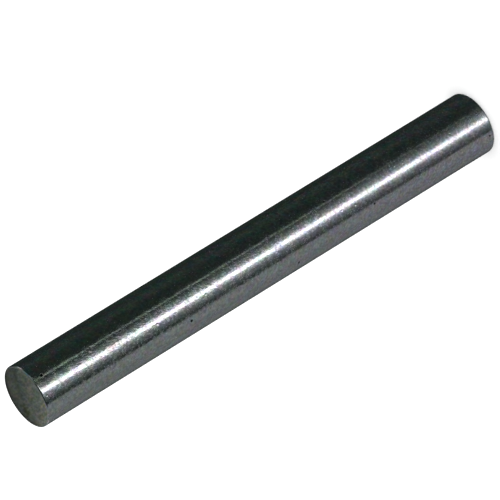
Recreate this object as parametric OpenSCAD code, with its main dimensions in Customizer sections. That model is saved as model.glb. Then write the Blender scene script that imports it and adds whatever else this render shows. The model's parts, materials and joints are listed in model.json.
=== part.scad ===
// Breaker push rod: a plain rod of ground steel that slides in a guide and passes the
// lift of a cam to a pair of contact points. It stands on its cam end, its axis runs
// along +Z, and the origin is the centre of its bottom face.

/* [Shank] */
// Diameter of the ground shank
rod_d = 4.76; // [3:0.01:10]
// Overall length, from face to face
rod_l = 41.28; // [20:0.01:100]

/* [Edge breaks] */
// Radius that rounds off the edge of the cam end, at the bottom
cam_edge_r = 0.12; // [0.05:0.01:0.6]
// Radius that rounds off the edge of the points end, at the top
points_edge_r = 0.12; // [0.05:0.01:0.6]

/* [Hidden] */

$fn = 96;

rod_r = rod_d / 2;
steel = [0.30, 0.32, 0.31];

// What a rounded edge takes off a square corner that points along +X and -Y
module corner_waste(edge_r) {
    difference() {
        translate([-edge_r, 0]) square(edge_r);
        translate([-edge_r, edge_r]) circle(r = edge_r);
    }
}

// Half of the rod's section through its axis, with both edges rounded
module half_section() {
    difference() {
        square([rod_r, rod_l]);
        translate([rod_r, 0]) corner_waste(cam_edge_r);
        translate([rod_r, rod_l]) mirror([0, 1]) corner_waste(points_edge_r);
    }
}

module push_rod() {
    color(steel) rotate_extrude() half_section();
}

push_rod();
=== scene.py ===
"""A breaker push rod of ground steel, standing on its cam end on a pale floor."""

import json
import math
from typing import NamedTuple

import bmesh
import bpy
from mathutils import Matrix, Vector


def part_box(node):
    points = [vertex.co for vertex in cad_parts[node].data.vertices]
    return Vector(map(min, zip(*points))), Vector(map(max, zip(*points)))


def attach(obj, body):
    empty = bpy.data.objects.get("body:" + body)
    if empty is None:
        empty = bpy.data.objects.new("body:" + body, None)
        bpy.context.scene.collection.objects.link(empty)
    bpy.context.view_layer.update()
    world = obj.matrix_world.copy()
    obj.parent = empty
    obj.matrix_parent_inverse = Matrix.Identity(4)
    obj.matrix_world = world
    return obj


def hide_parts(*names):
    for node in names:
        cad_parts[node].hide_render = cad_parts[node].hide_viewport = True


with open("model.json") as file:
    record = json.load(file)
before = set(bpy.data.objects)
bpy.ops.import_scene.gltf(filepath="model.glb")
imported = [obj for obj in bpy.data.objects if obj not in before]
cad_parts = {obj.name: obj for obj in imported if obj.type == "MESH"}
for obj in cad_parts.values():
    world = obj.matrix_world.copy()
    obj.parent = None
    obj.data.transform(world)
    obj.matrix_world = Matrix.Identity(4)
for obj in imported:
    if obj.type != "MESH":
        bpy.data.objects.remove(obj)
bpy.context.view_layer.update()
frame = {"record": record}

MM = 0.001

# ---------------------------------------------------------------- the rod's own sizes, in mm

lowest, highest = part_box("push_rod")
shank = next(mount for mount in frame["record"]["mounts"] if mount["name"] == "shank")
RADIUS = highest.y / MM
LENGTH = (highest.z - lowest.z) / MM
EDGE = (LENGTH - shank["dims"]["length_mm"]) / 2  # radius of the edge breaks
FACE = RADIUS - EDGE  # radius of the flat end faces
MIDDLE = Vector((0, 0, LENGTH / 2))


def on_shank(height, angle):
    """A place on the shank, in mm. The angle is in degrees, from the front towards -X."""
    turn = math.radians(angle)
    return Vector((-RADIUS * math.sin(turn), -RADIUS * math.cos(turn), height))


# ---------------------------------------------------------------- camera

VIEW_HEIGHT = math.radians(27.8)  # above the horizon
VIEW_ROLL = math.radians(121.53)  # lays the standing rod across the picture
VIEW_DISTANCE = 381  # mm
LENS, SENSOR = 393, 36  # mm
AIM_RIGHT, AIM_UP = -0.32, 0.46  # mm in the picture, from the rod's middle to its centre
CLIP_NEAR, CLIP_FAR = 0.01, 20  # metres


def place_camera():
    """A long lens that looks down on the rod from the front, rolled on its side."""
    back = Vector((0, -math.cos(VIEW_HEIGHT), math.sin(VIEW_HEIGHT)))
    level_right = Vector((1, 0, 0))
    level_up = back.cross(level_right)
    turn, lean = math.cos(VIEW_ROLL), math.sin(VIEW_ROLL)
    right = turn * level_right - lean * level_up
    up = lean * level_right + turn * level_up
    place = (MIDDLE + AIM_RIGHT * right + AIM_UP * up + VIEW_DISTANCE * back) * MM
    lens = bpy.data.cameras.new("long_lens")
    lens.lens, lens.sensor_width = LENS, SENSOR
    lens.clip_start, lens.clip_end = CLIP_NEAR, CLIP_FAR
    camera = bpy.data.objects.new("camera", lens)
    camera.matrix_world = Matrix.Translation(place) @ Matrix((right, up, back)).transposed().to_4x4()
    bpy.context.scene.collection.objects.link(camera)
    bpy.context.scene.camera = camera


# ---------------------------------------------------------------- shader maths


class Value:
    """A socket of a recipe. Python's operators on it add Math nodes."""

    def __init__(self, recipe, socket):
        self.recipe = recipe
        self.socket = socket

    def __add__(self, other):
        return self.recipe.maths("ADD", self, other)

    def __sub__(self, other):
        return self.recipe.maths("SUBTRACT", self, other)

    def __rsub__(self, other):
        return self.recipe.maths("SUBTRACT", other, self)

    def __mul__(self, other):
        return self.recipe.maths("MULTIPLY", self, other)

    def __truediv__(self, other):
        return self.recipe.maths("DIVIDE", self, other)

    def __pow__(self, other):
        return self.recipe.maths("POWER", self, other)

    def __neg__(self):
        return self.recipe.maths("MULTIPLY", self, -1.0)

    __radd__ = __add__
    __rmul__ = __mul__


class Recipe:
    """A material, and the nodes that it is mixed from."""

    def __init__(self, name):
        self.material = bpy.data.materials.new(name)
        self.material.use_nodes = True
        self.tree = self.material.node_tree
        self.tree.nodes.clear()

    def add(self, kind, settings, sockets, output=0):
        """Adds a node: its settings, then its sockets' values or links. Returns one output."""
        node = self.tree.nodes.new(kind)
        for name, setting in settings.items():
            setattr(node, name, setting)
        for name, given in sockets.items():
            if isinstance(given, Value):
                self.tree.links.new(given.socket, node.inputs[name])
            else:
                node.inputs[name].default_value = given
        return Value(self, node.outputs[output])

    def maths(self, operation, *numbers):
        return self.add("ShaderNodeMath", {"operation": operation}, dict(enumerate(numbers)))

    def vectors(self, operation, *given, output=0):
        sockets = dict(enumerate(given))
        return self.add("ShaderNodeVectorMath", {"operation": operation}, sockets, output)

    def scaled(self, vector, number):
        sockets = {0: vector, "Scale": number}
        return self.add("ShaderNodeVectorMath", {"operation": "SCALE"}, sockets)

    def distance(self, first, second):
        return self.vectors("DISTANCE", first, second, output="Value")

    def parts(self, vector):
        """The three numbers of a vector."""
        first = self.add("ShaderNodeSeparateXYZ", {}, {0: vector})
        return [Value(self, socket) for socket in first.socket.node.outputs]

    def step(self, number, start, end):
        """A smooth rise from 0 at start to 1 at end."""
        sockets = {"Value": number, "From Min": start, "From Max": end}
        return self.add("ShaderNodeMapRange", {"interpolation_type": "SMOOTHSTEP"}, sockets)

    def blend(self, share, first, second):
        """Two colours mixed."""
        sockets = {0: share, 6: first, 7: second}
        return self.add("ShaderNodeMix", {"data_type": "RGBA"}, sockets, output=2)

    def noise(self, place, cells, detail, output=0):
        """A cloud of values from 0 to 1, with so many cells to a unit of place."""
        sockets = {"Vector": place, "Scale": cells, "Detail": detail}
        return self.add("ShaderNodeTexNoise", {}, sockets, output)

    def swing(self, place, cells, detail, amount):
        """The same cloud, swinging about 0."""
        return (self.noise(place, cells, detail) - NOISE_MIDDLE) * amount

    def finish(self, shader):
        out = self.tree.nodes.new("ShaderNodeOutputMaterial")
        self.tree.links.new(shader.socket, out.inputs["Surface"])
        return self.material


NOISE_MIDDLE = 0.5


def grey(level):
    return (level, level, level, 1)


# ---------------------------------------------------------------- studio

FLOOR_SIZE = 20.0  # metres
FLOOR_GREY = 0.98
DAYLIGHT = 1.4  # more than a white floor needs, so that the rod's shadow stays small
TENT_RADIUS = 1.0  # metres
TENT_COLUMNS, TENT_RINGS = 96, 48
LEVEL_RISE = -24  # degrees: where the leaning panels cross their own angles


class Panel(NamedTuple):
    """One lit panel of the tent, which only reflections see. All angles are in degrees."""

    around: tuple  # where it starts and ends, from the front towards -X
    edges: tuple  # how wide the blur is at those two edges
    height: tuple  # where it starts and ends, from the horizon upwards
    fade: float  # how wide the blur is at those two ends
    light: float
    tint: tuple
    lean: float = 0.0  # degrees to the side for each degree upwards


PANELS = {
    "dark_cloth": Panel((-180, 180), (0.1, 0.1), (-90, 90), 1, 0.033, (0.82, 1.16, 1.02)),
    "cloth_sheen": Panel((-110, -76), (28, 28), (-90, 30), 20, 0.015, (0.82, 1.16, 1.03)),
    "main_strip": Panel((5, 16.4), (9.5, 6), (-36, 16), 20, 3.25, (1.0, 0.98, 1.03), lean=0.36),
    "strip_head": Panel((16.0, 18.6), (3, 3), (-26.5, 16), 3, 1.3, (1.0, 1.0, 1.02), lean=0.36),
    "strip_glow": Panel((14, 16), (84, 84), (-90, 20), 20, 0.75, (0.96, 1.0, 1.1), lean=0.2),
    "strip_side": Panel((16, 26), (4, 11), (-90, 20), 20, 0.28, (0.97, 1.0, 1.07), lean=0.1),
    "strip_foot": Panel((4, 22), (8, 8), (-90, -28.5), 5, 0.3, (0.98, 1.0, 1.05), lean=0.36),
    "strip_shoulder": Panel((20, 39), (8, 34), (-90, 20), 20, 0.075, (0.96, 1.0, 1.04)),
    "right_glow": Panel((-13, 5), (18, 8), (-90, 20), 20, 0.11, (0.87, 1.1, 0.97)),
    "low_glow": Panel((-14, 8), (26, 10), (-90, -28.9), 5.5, 0.1, (0.93, 1.02, 1.03)),
    "low_fill": Panel((24, 64), (10, 10), (-90, -26.5), 5, 0.025, (0.95, 1.0, 1.0)),
    "bright_seam": Panel((-32.4, -30), (3.1, 3.1), (-28.5, 40), 7, 0.96, (0.92, 1.07, 0.95), lean=0.45),
    "seam_foot": Panel((-31.8, -16), (2, 10), (-90, -27.5), 7, 0.05, (0.96, 1.05, 0.93), lean=0.45),
    "left_wall": Panel((60.4, 150), (2, 50), (-90, 64), 12, 0.21, (0.98, 1.0, 1.05), lean=-0.17),
    "left_wall_glow": Panel((60.4, 98), (2, 40), (-90, 50), 20, 0.07, (0.93, 1.03, 1.0), lean=-0.17),
    "right_rim_light": Panel((-130, -30), (20, 20), (16, 70), 12, 0.19, (0.96, 1.02, 0.93)),
    "back_ceiling": Panel((120, 240), (40, 40), (18, 75), 20, 0.15, (0.98, 1.02, 0.98)),
    "right_strip": Panel((-112, -92), (16, 16), (-16, 16), 6, 0.8, (0.98, 1.0, 1.04)),
    "back_strip": Panel((122, 140), (16, 16), (-16, 0), 6, 0.9, (0.98, 1.0, 1.04)),
}


def floor_material():
    recipe = Recipe("pale_floor")
    finish = {"Base Color": grey(FLOOR_GREY), "Roughness": 1.0, "Specular IOR Level": 0.0}
    return recipe.finish(recipe.add("ShaderNodeBsdfPrincipled", {}, finish))


def lay_floor():
    mesh = bpy.data.meshes.new("floor")
    half = FLOOR_SIZE / 2
    corners = [(-half, -half, 0), (half, -half, 0), (half, half, 0), (-half, half, 0)]
    mesh.from_pydata(corners, [], [(0, 1, 2, 3)])
    mesh.materials.append(floor_material())
    floor = bpy.data.objects.new("floor", mesh)
    floor.visible_glossy = False
    bpy.context.scene.collection.objects.link(floor)


def light_world():
    """Even daylight on the floor. Reflections see the tent in its place."""
    world = bpy.data.worlds.new("daylight")
    bpy.context.scene.world = world
    world.use_nodes = True
    background = world.node_tree.nodes["Background"]
    background.inputs["Color"].default_value = grey(1.0)
    background.inputs["Strength"].default_value = DAYLIGHT
    world.cycles_visibility.glossy = False


def panel_light(recipe, angle, rise, panel):
    """The light of a panel in a direction, given by its angle round the rod and its rise."""
    start, end = panel.around
    low, high = panel.height
    width = end - start
    spare = (360 - width) / 2
    first, last = [edge / 2 for edge in panel.edges]
    blur = panel.fade / 2
    turned = angle - start - (LEVEL_RISE - rise) * panel.lean
    along = recipe.maths("WRAP", turned, width + spare, -spare)
    share = recipe.step(along, -first, first)
    share *= 1 - recipe.step(along, width - last, width + last)
    share *= recipe.step(rise, low - blur, low + blur)
    share *= 1 - recipe.step(rise, high - blur, high + blur)
    return recipe.scaled(panel.tint, share * panel.light)


def tent_material():
    recipe = Recipe("light_tent")
    place = recipe.add("ShaderNodeTexCoord", {}, {}, output="Object")
    x, y, z = recipe.parts(place)
    degrees = math.degrees(1)
    angle = recipe.maths("ARCTAN2", -x, -y) * degrees
    rise = recipe.maths("ARCSINE", z / TENT_RADIUS) * degrees
    total = (0, 0, 0)
    for panel in PANELS.values():
        total = recipe.vectors("ADD", total, panel_light(recipe, angle, rise, panel))
    finish = {
        "Base Color": grey(0.0),
        "Specular IOR Level": 0.0,
        "Emission Color": total,
        "Emission Strength": 1.0,
    }
    material = recipe.finish(recipe.add("ShaderNodeBsdfPrincipled", {}, finish))
    material.cycles.emission_sampling = "NONE"
    return material


def pitch_tent():
    """A round light tent that only reflections see."""
    mesh = bpy.data.meshes.new("light_tent")
    shape = bmesh.new()
    size = {"u_segments": TENT_COLUMNS, "v_segments": TENT_RINGS, "radius": TENT_RADIUS}
    bmesh.ops.create_uvsphere(shape, **size)
    shape.to_mesh(mesh)
    shape.free()
    mesh.materials.append(tent_material())
    tent = bpy.data.objects.new("light_tent", mesh)
    tent.location = MIDDLE * MM
    tent.visible_camera = False
    tent.visible_diffuse = False
    tent.visible_shadow = False
    bpy.context.scene.collection.objects.link(tent)


# ---------------------------------------------------------------- marks on the shank

# Round marks: height in mm, degrees from the front towards -X, radius in mm
DARK_PITS = [
    (28.4, 39, 0.13),
    (40.5, -18, 0.12),
    (18.6, 56, 0.12),
    (11.4, 31, 0.09),
    (14.9, -18.5, 0.08),
    (0.4, 37, 0.09),
]
NICKS = [
    (36.5, -6, 0.13),
    (40.95, 16, 0.09),
    (31.05, 11, 0.1),
    (26.65, 11, 0.09),
    (18.3, -10, 0.09),
    (14.1, 11, 0.08),
    (12.9, 15, 0.11),
    (8.65, -5, 0.05),
    (3.4, -4, 0.05),
]
PIT_DEPTH, NICK_DEPTH = 0.03, 0.014  # mm
PIT_RIM = 0.6  # share of a pit's radius that is fully dark


class Scratch(NamedTuple):
    """A straight hairline between two places on the shank, as height and angle."""

    start: tuple
    end: tuple
    half_width: float  # mm
    light: float  # how many times lighter it is than the steel


SCRATCHES = [
    Scratch((32.95, 30), (32.85, 30), 0.06, 1.9),
    Scratch((30.4, 50.5), (29.85, 53.5), 0.025, 1.7),
    Scratch((30.1, 54.5), (29.9, 55), 0.025, 1.5),
    Scratch((29.8, 51), (29.35, 57.5), 0.03, 0.7),
]
SCRATCH_CORE = 0.4  # share of a scratch's half width that is at its full strength


def pits(recipe, mm):
    """1 in the dark pits, 0 outside."""
    total = 0.0
    for height, angle, radius in DARK_PITS:
        gap = recipe.distance(mm, on_shank(height, angle))
        total = recipe.maths("MAXIMUM", total, recipe.step(gap, radius, radius * PIT_RIM))
    return total


def on_scratch(recipe, mm, scratch):
    """1 on a scratch, 0 off it."""
    start, end = on_shank(*scratch.start), on_shank(*scratch.end)
    way = end - start
    from_start = recipe.vectors("SUBTRACT", mm, start)
    reach = recipe.vectors("DOT_PRODUCT", from_start, way, output="Value") / way.length_squared
    reach = recipe.maths("MINIMUM", recipe.maths("MAXIMUM", reach, 0.0), 1.0)
    gap = recipe.distance(from_start, recipe.scaled(way, reach))
    return recipe.step(gap, scratch.half_width, scratch.half_width * SCRATCH_CORE)


# ---------------------------------------------------------------- the steel's finish

# Noise patterns: cells to a mm, and detail
PATCHES, TINGE, SPECKS = (0.9, 2.0), (1.8, 1.5), (5.5, 1.0)
GRAIN, WAVES, LINES = (6.3, 1.0), (0.6, 1.0), (1.0, 1.0)
SPOTS, RUB = (6.0, 1.0), (1.3, 2.0)
CLOUDS, FINE_CLOUDS, END_TINGE, END_WAVES = (1.4, 3.0), (6.0, 2.0), (3.0, 1.5), (4.0, 3.0)

# Colours
SHANK_GREEN = (0.44, 0.47, 0.446, 1)  # at the top end
SHANK_PURPLE = (0.468, 0.451, 0.486, 1)  # at the bottom end
PIT_COLOUR = (0.015, 0.018, 0.015, 1)
OIL_TINT = (1.05, 0.9, 1.4, 1)  # how far each colour drifts under the oil
POOL_TINT = (1.7, 0.9, 0.9, 1)
OIL_DRIFT, POOL_DRIFT = 0.52, 0.5
PATCH_SPAN = (0.15, 0.55)
PATCH_FADE = 0.3  # how much less green the bottom end is
SPECK_SWING = 1.05

# Zones, in mm towards +X and in shares of the length
FILM_SPAN = (0.4, 0.65)  # where a film of oil begins
FILM_BACK = 0.13  # how much further it keeps back where the grain is coarsest
POOL_SPAN = (0.75, 1.3)  # where it is thickest
POOL_END = (2.15, 2.36)
WORN_SPAN = (-0.2, 1.2)  # the grain grows coarser up the rod
WORN_TOP = (LENGTH - 4.5, LENGTH - 1.5)  # heights in mm, between which that eases
WORN_TOP_EASE = 0.5
SLANT_SPAN = (0.4, 0.75)  # where the grain begins to slant

# The relief that grinding leaves: heights in mm
GRAIN_DRAWN = 0.78  # share of the cells' count that is left along the rod
GRAIN_HEIGHT, GRAIN_LEAST = 0.0078, 0.0005
GRAIN_SLANT, GRAIN_TWIST = 1.2, 0.1  # mm along the rod for each mm across
WAVE_HEIGHT = 0.008
LINES_DRAWN, LINE_HEIGHT = (0.5, 0.5, 9.0), 0.0015  # the lines run round the rod
FILM_FILLS = 0.7  # share of the grain that the oil fills

# Roughness, and its small rougher spots
ROUGHNESS, WORN_POLISH = 0.175, 0.07
RUB_SWING = 0.32
SPOT_SPAN = (0.43, 0.66)
SPOT_ROUGHNESS, SPOT_LEAST = 0.165, 0.05
FILM_HIDES = 0.92  # share of the spots that the oil hides

# The cut ends
END_SPAN = (FACE + 0.02, FACE - 0.02)  # mm from the axis, where their finish begins
END_ROUGHNESS, END_HEIGHT = 0.5, 0.02
END_BROWN = (1.06, 1.0, 0.92, 1)
END_TEAL = (0.94, 1.05, 1.0, 1)
END_GREEN = (1.0, 1.04, 0.96, 1)
END_OLIVE = (0.95, 1.0, 0.72, 1)
STREAKED = (1, 0.45, 1)  # the clouds are drawn out from front to back
CLOUD_SPAN = (0.4, 0.6)
CLOUD_SWING, FINE_SWING = 0.64, 1.36
END_TINGE_SWING, END_TINGE_BASE = (0.34, 0.33, 0.9), (0.83, 0.835, 0.5)
PAINTED_LIGHT_SIDE = (-0.64, -0.77, 0)  # painted light: the way across the face in which it grows lighter
PAINTED_LIGHT_SPAN = (-1.1 * FACE, 1.1 * FACE)
END_SHADE, PAINTED_LIGHT_SHADE = 0.21, 0.35
RING_SPAN, RING_SHADE = (FACE - 0.3, FACE - 0.18), 0.12  # a ring lighter near the face's edge
PAINTED_SHADE_RIM_SPAN, PAINTED_RIM_SHADE = (FACE - 0.4, FACE - 0.08), -0.6  # painted shade: a dark rim
PAINTED_SHADE_RIM_BACK = (0.1, 1.4)  # mm towards +Y, where the painted shade on the rim begins


class Stain(NamedTuple):
    """A stain on the top face, whose edge wanders with the fine clouds."""

    middle: tuple  # mm
    span: tuple  # mm from its middle, where it begins and where it is full
    wander: float  # mm
    colour: tuple
    shade: float  # how much lighter it is than the steel


STAINS = [
    Stain((0.75, 0.0, LENGTH), (1.9, 0.9), 1.2, END_TEAL, -0.14),
    Stain((-0.9, 1.2, LENGTH), (1.2, 0.4), 0.8, END_OLIVE, -0.4),
    Stain((1.4, 0.9, LENGTH), (1.5, 0.6), 0.8, END_GREEN, 0.4),
]


class Skin:
    """Places on the rod in mm, and the zones that its finish is worked out from."""

    def __init__(self, recipe):
        place = recipe.add("ShaderNodeTexCoord", {}, {}, output="Object")
        self.mm = recipe.scaled(place, 1 / MM)
        self.x, self.y, self.z = recipe.parts(self.mm)
        self.from_axis = (self.x * self.x + self.y * self.y) ** 0.5
        self.upward = self.z / LENGTH
        top_ease = 1 - recipe.step(self.z, *WORN_TOP) * WORN_TOP_EASE
        self.worn = recipe.step(self.upward, *WORN_SPAN) * top_ease
        self.film = recipe.step(self.x - self.worn * FILM_BACK, *FILM_SPAN)
        self.pool = recipe.step(self.x, *POOL_SPAN) * (1 - recipe.step(self.x, *POOL_END))
        self.end = recipe.step(self.from_axis, *END_SPAN)

    def along_grinding(self, recipe):
        """Places drawn out along the rod, and slanting near its top on the +X side."""
        slant = recipe.step(self.upward, *SLANT_SPAN) * GRAIN_SLANT
        shift = recipe.maths("MAXIMUM", self.x, 0.0) * slant + self.x * GRAIN_TWIST
        sockets = {"X": self.x, "Y": self.y, "Z": (self.z - shift) * GRAIN_DRAWN}
        return recipe.add("ShaderNodeCombineXYZ", {}, sockets)


def shank_relief(recipe, skin, lay):
    grain = recipe.noise(lay, *GRAIN) * (skin.worn * GRAIN_HEIGHT + GRAIN_LEAST)
    wave = recipe.noise(skin.mm, *WAVES) * WAVE_HEIGHT
    lines = recipe.noise(recipe.vectors("MULTIPLY", skin.mm, LINES_DRAWN), *LINES) * LINE_HEIGHT
    return grain * (1 - skin.film * FILM_FILLS) + wave + lines


def shank_roughness(recipe, skin, lay):
    spots = recipe.step(recipe.noise(lay, *SPOTS), *SPOT_SPAN)
    spots = spots * (skin.worn * SPOT_ROUGHNESS + SPOT_LEAST) * (1 - skin.film * FILM_HIDES)
    rub = recipe.swing(skin.mm, *RUB, RUB_SWING)
    return spots + rub + (ROUGHNESS - skin.worn * WORN_POLISH)


def shank_colour(recipe, skin):
    """Steel whose colour oil and time have left slightly uneven, with its marks."""
    patches = recipe.noise(skin.mm, *PATCHES) - skin.upward * PATCH_FADE
    steel = recipe.blend(recipe.step(patches, *PATCH_SPAN), SHANK_GREEN, SHANK_PURPLE)
    tinge = recipe.noise(skin.mm, *TINGE, output=1)
    tinge = recipe.vectors("SUBTRACT", tinge, (NOISE_MIDDLE, NOISE_MIDDLE, NOISE_MIDDLE))
    tinge = recipe.scaled(tinge, skin.pool * POOL_DRIFT + OIL_DRIFT)
    tint = recipe.blend(skin.pool, OIL_TINT, POOL_TINT)
    tinge = recipe.vectors("MULTIPLY_ADD", tinge, tint, (1, 1, 1))
    shade = recipe.swing(skin.mm, *SPECKS, SPECK_SWING) + 1
    for scratch in SCRATCHES:
        shade = shade * (1 + on_scratch(recipe, skin.mm, scratch) * (scratch.light - 1))
    colour = recipe.scaled(recipe.vectors("MULTIPLY", steel, tinge), shade)
    return recipe.blend(pits(recipe, skin.mm), colour, PIT_COLOUR)


def end_colour(recipe, skin):
    """The cut ends: clouded, with painted light that makes them lighter at the front left, stains, a
    lighter ring near the edge and painted shade on the back of the rim.
    """
    streaked = recipe.vectors("MULTIPLY", skin.mm, STREAKED)
    clouds = recipe.noise(streaked, *CLOUDS)
    fine = recipe.noise(streaked, *FINE_CLOUDS)
    tinge = recipe.noise(streaked, *END_TINGE, output=1)
    tinge = recipe.vectors("MULTIPLY_ADD", tinge, END_TINGE_SWING, END_TINGE_BASE)
    # Painted light: the face is made lighter towards the front left
    across = recipe.vectors("DOT_PRODUCT", skin.mm, PAINTED_LIGHT_SIDE, output="Value")
    shade = recipe.step(across, *PAINTED_LIGHT_SPAN) * PAINTED_LIGHT_SHADE + END_SHADE
    hue = recipe.blend(recipe.step(clouds, *CLOUD_SPAN), END_TEAL, END_BROWN)
    for stain in STAINS:
        gap = recipe.distance(skin.mm, stain.middle) + fine * stain.wander
        share = recipe.step(gap, *stain.span)
        hue = recipe.blend(share, hue, stain.colour)
        shade = shade * (1 + share * stain.shade)
    # Painted shade: the face's edge is darkened on its back side
    rim = recipe.step(skin.from_axis, *PAINTED_SHADE_RIM_SPAN) * recipe.step(skin.y, *PAINTED_SHADE_RIM_BACK)
    shade = shade * (1 + rim * PAINTED_RIM_SHADE)
    shade = shade * (1 + recipe.step(skin.from_axis, *RING_SPAN) * RING_SHADE)
    clouding = (clouds - NOISE_MIDDLE) * CLOUD_SWING + (fine - NOISE_MIDDLE) * FINE_SWING
    shade = shade * (1 + clouding)
    return recipe.scaled(recipe.vectors("MULTIPLY", hue, tinge), shade)


def ground_steel():
    """Ground and oiled steel: a fine grain, faint grinding lines, and matt cut ends."""
    recipe = Recipe("ground_steel")
    skin = Skin(recipe)
    lay = skin.along_grinding(recipe)
    colour = recipe.blend(skin.end, shank_colour(recipe, skin), end_colour(recipe, skin))
    roughness = shank_roughness(recipe, skin, lay) * (1 - skin.end) + skin.end * END_ROUGHNESS
    end_relief = recipe.noise(skin.mm, *END_WAVES) * END_HEIGHT
    height = shank_relief(recipe, skin, lay) * (1 - skin.end) + end_relief * skin.end
    bump = recipe.add("ShaderNodeBump", {}, {"Strength": 1.0, "Distance": MM, "Height": height})
    finish = {"Base Color": colour, "Roughness": roughness, "Metallic": 1.0, "Normal": bump}
    return recipe.finish(recipe.add("ShaderNodeBsdfPrincipled", {}, finish))


# ---------------------------------------------------------------- the turned rod, in mm

SEGMENTS = 192  # around the rod
RING_GAP = 0.16  # along the shank
FACE_RINGS = (0.2, 0.4, 0.6, 0.8, 0.93)  # shares of the face's radius
EDGE_STEPS = 8
SHARPNESS = 0.02  # gap of the rings that hold the edges' shading
GIRTH = 2 * math.pi * RADIUS
MAP_GAP = 0.25  # round each patch of the skin's map
MAP_SIDE = 2 * GIRTH + 3 * MAP_GAP


def rounded_edge():
    """Points of the bottom edge break, from the end face to the shank's side."""
    turns = [math.pi / 2 * k / EDGE_STEPS for k in range(EDGE_STEPS + 1)]
    return [(FACE + EDGE * math.sin(turn), EDGE * (1 - math.cos(turn))) for turn in turns]


def outline():
    """Half of the rod's section: radius and height, from the bottom face to the top one."""
    face = [(FACE * share, 0.0) for share in FACE_RINGS] + [(FACE - SHARPNESS, 0.0)]
    bottom = face + rounded_edge()
    top = [(radius, LENGTH - height) for radius, height in reversed(bottom)]
    start = EDGE + SHARPNESS
    shank_rings = 2 * round((LENGTH - 2 * start) / RING_GAP / 2)  # even, so one is at mid length
    gap = (LENGTH - 2 * start) / shank_rings
    side = [(RADIUS, start + gap * k) for k in range(shank_rings + 1)]
    return bottom + side + top


def spun(radius, column):
    """A point's place across the rod, in one of the columns counted from the front towards +X."""
    turn = 2 * math.pi * column / SEGMENTS
    return Vector((radius * math.sin(turn), -radius * math.cos(turn)))


class SkinMap:
    """Where the skin lies in its square map: the shank in two strips, the faces in two discs."""

    def __init__(self, section):
        self.middle = len(section) // 2
        self.rim = len(FACE_RINGS) + 1  # the ring at the flat face's edge
        self.path = [0.0]
        for (r0, h0), (r1, h1) in zip(section, section[1:]):
            self.path.append(self.path[-1] + math.hypot(r1 - r0, h1 - h0))

    def strip(self, ring, column, upper):
        """A corner of the shank or of an edge break, in the lower or the upper strip."""
        across = MAP_GAP + GIRTH * column / SEGMENTS + (GIRTH + MAP_GAP) * upper
        start = self.middle if upper else self.rim
        return Vector((across, MAP_GAP + self.path[ring] - self.path[start])) / MAP_SIDE

    def disc(self, point, top):
        """A point of an end face."""
        strips = MAP_GAP + self.path[self.middle] - self.path[self.rim]
        centre = Vector((MAP_GAP + FACE + (2 * FACE + MAP_GAP) * top, strips + MAP_GAP + FACE))
        side = 1 if top else -1
        return (centre + Vector((side * point.x, point.y))) / MAP_SIDE


def turn_rod(shape, layout):
    """The outline turned about the axis, with the map of its skin."""
    section = outline()
    skin_map = SkinMap(section)
    last = len(section) - 1
    columns = range(SEGMENTS)
    rings = [[shape.verts.new((*spun(radius, k), height)) for k in columns] for radius, height in section]
    for ring in range(last):
        on_face = ring < skin_map.rim or ring >= last - skin_map.rim
        upper = ring >= skin_map.middle
        for k in columns:
            corners = [(ring, k), (ring, k + 1), (ring + 1, k + 1), (ring + 1, k)]
            face = shape.faces.new([rings[i][j % SEGMENTS] for i, j in corners])
            for loop, (i, j) in zip(face.loops, corners):
                if on_face:
                    loop[layout].uv = skin_map.disc(spun(section[i][0], j), upper)
                else:
                    loop[layout].uv = skin_map.strip(i, j, upper)
    for ring, height in ((0, 0.0), (last, LENGTH)):
        centre = shape.verts.new((0, 0, height))
        for k in columns:
            pair = [rings[ring][k], rings[ring][(k + 1) % SEGMENTS]]
            face = shape.faces.new([centre] + (pair if ring else pair[::-1]))
            for loop in face.loops:
                loop[layout].uv = skin_map.disc(loop.vert.co, ring > 0)


DENT_FIELD = (2.2, 0.05)  # the finer mesh: so many times the dent's radius, and mm more
DENT_CUTS = 3


def press(shape, height, angle, radius, depth):
    """Presses a small round dent into the shank, in a finer mesh."""
    centre = on_shank(height, angle)
    field = radius * DENT_FIELD[0] + DENT_FIELD[1]
    near = [face for face in shape.faces if (face.calc_center_median() - centre).length < field]
    edges = list({edge for face in near for edge in face.edges})
    bmesh.ops.subdivide_edges(shape, edges=edges, cuts=DENT_CUTS, use_grid_fill=True)
    for vert in shape.verts:
        gap = (vert.co - centre).length
        flat = math.hypot(vert.co.x, vert.co.y)
        if gap > 2 * field or flat <= FACE or not EDGE < vert.co.z < LENGTH - EDGE:
            continue
        true = RADIUS - depth * max(0, 1 - (gap / radius) ** 2) ** 2
        vert.co.x *= true / flat
        vert.co.y *= true / flat


def make_rod():
    shape = bmesh.new()
    layout = shape.loops.layers.uv.new("OFBake")
    turn_rod(shape, layout)
    for pit in DARK_PITS:
        press(shape, *pit, PIT_DEPTH)
    for nick in NICKS:
        press(shape, *nick, NICK_DEPTH)
    for face in shape.faces:
        face.smooth = True
    bmesh.ops.scale(shape, vec=(MM, MM, MM), verts=shape.verts)
    mesh = bpy.data.meshes.new("ground_rod")
    shape.to_mesh(mesh)
    shape.free()
    mesh.materials.append(ground_steel())
    rod = bpy.data.objects.new("ground_rod", mesh)
    bpy.context.scene.collection.objects.link(rod)
    return rod


# ---------------------------------------------------------------- scene

bpy.context.scene.view_settings.view_transform = "Standard"
place_camera()
lay_floor()
light_world()
pitch_tent()
rod = make_rod()
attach(rod, "root")
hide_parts("push_rod")
